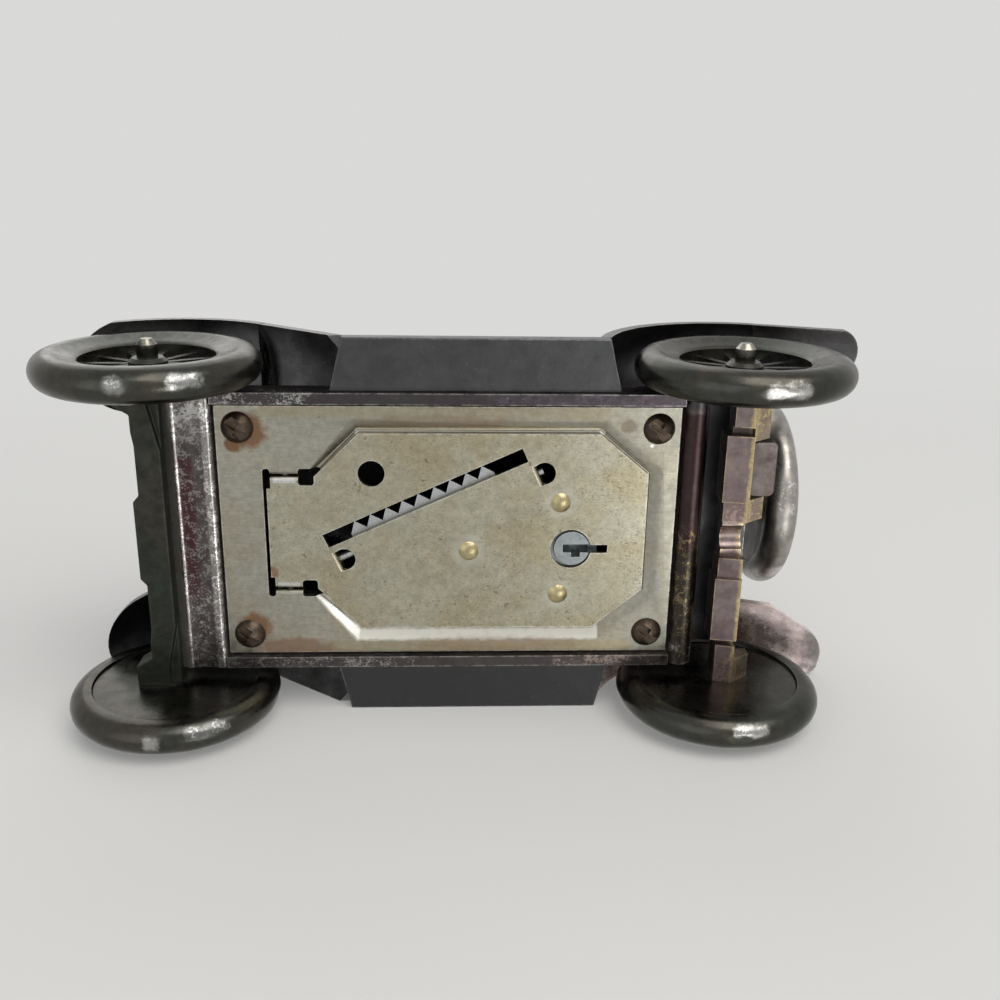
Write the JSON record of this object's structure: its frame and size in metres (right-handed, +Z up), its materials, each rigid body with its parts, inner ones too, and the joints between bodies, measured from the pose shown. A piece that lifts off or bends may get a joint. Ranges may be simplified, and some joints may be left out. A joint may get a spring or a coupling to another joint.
{
  "type": "car coin bank",
  "caption": "Cast toy sedan on its own wheels, hollow for coins, with a hinged steel trap underneath that has a slanting coin slot, a toothed coin guard and a round key lock.",
  "frame": {"origin": "on the ground under the middle of the car's length and width", "axes": "+X towards the radiator, +Y towards the car's left, +Z up"},
  "size_m": [0.1246, 0.061, 0.068],
  "materials": {
    "casting": "dark plated white metal, worn",
    "casting_bronze": "bronzed white metal, worn to gold on the edges",
    "casting_tyre": "dark plated white metal, rubbed bright on the treads",
    "trap_steel": "tinned sheet steel, speckled and yellowed",
    "bright_steel": "zinc-plated",
    "rivet_brass": "dull, brass-washed",
    "screw_steel": "brown, lightly rusted"
  },
  "bodies": {
    "casting": {"cabin": "casting", "bonnet": "casting", "radiator": "casting_bronze", "headlamp_left": "casting_bronze", "headlamp_right": "casting_bronze", "underframe": "casting", "front_wing_left": "casting", "front_wing_right": "casting", "rear_wing_left": "casting_bronze", "rear_wing_right": "casting_bronze", "running_board_left": "casting", "running_board_right": "casting", "front_axle": "casting", "rear_axle": "casting_bronze", "rear_bracket": "casting_bronze", "wheel_front_left": "casting_tyre", "wheel_front_right": "casting_tyre", "wheel_rear_left": "casting_tyre", "wheel_rear_right": "casting_tyre", "spare_wheel": "casting_tyre", "trap_frame": "trap_steel", "frame_screws": "screw_steel", "hinge_pin": "bright_steel"},
    "door": {"trap_door": "trap_steel", "guard_spring": "bright_steel", "guard_rivet": "rivet_brass", "lock_case": "bright_steel", "lock_rivets": "rivet_brass"},
    "guard": {"coin_guard": "bright_steel"},
    "lock": {"lock_plug": "bright_steel", "lock_cam": "bright_steel"}
  },
  "joints": [
    {"name": "door_swing", "type": "hinge", "parent": "casting", "child": "door", "pos_m": [0.02785, 0, 0.0192], "axis": [0, -1, 0], "range_deg": [0, 100]},
    {"name": "guard_tilt", "type": "hinge", "parent": "door", "child": "guard", "pos_m": [0.00493, 0.00215, 0.0192], "axis": [0.91, -0.4147, 0], "range_deg": [0, 75], "stiffness_Nm_per_rad": 0.0004, "springref_deg": -28.65, "deforming": ["guard_spring"]},
    {"name": "lock_turn", "type": "hinge", "parent": "door", "child": "lock", "pos_m": [-0.01645, -0.0026, 0.0205], "axis": [0, 0, 1], "range_deg": [0, 90]}
  ]
}
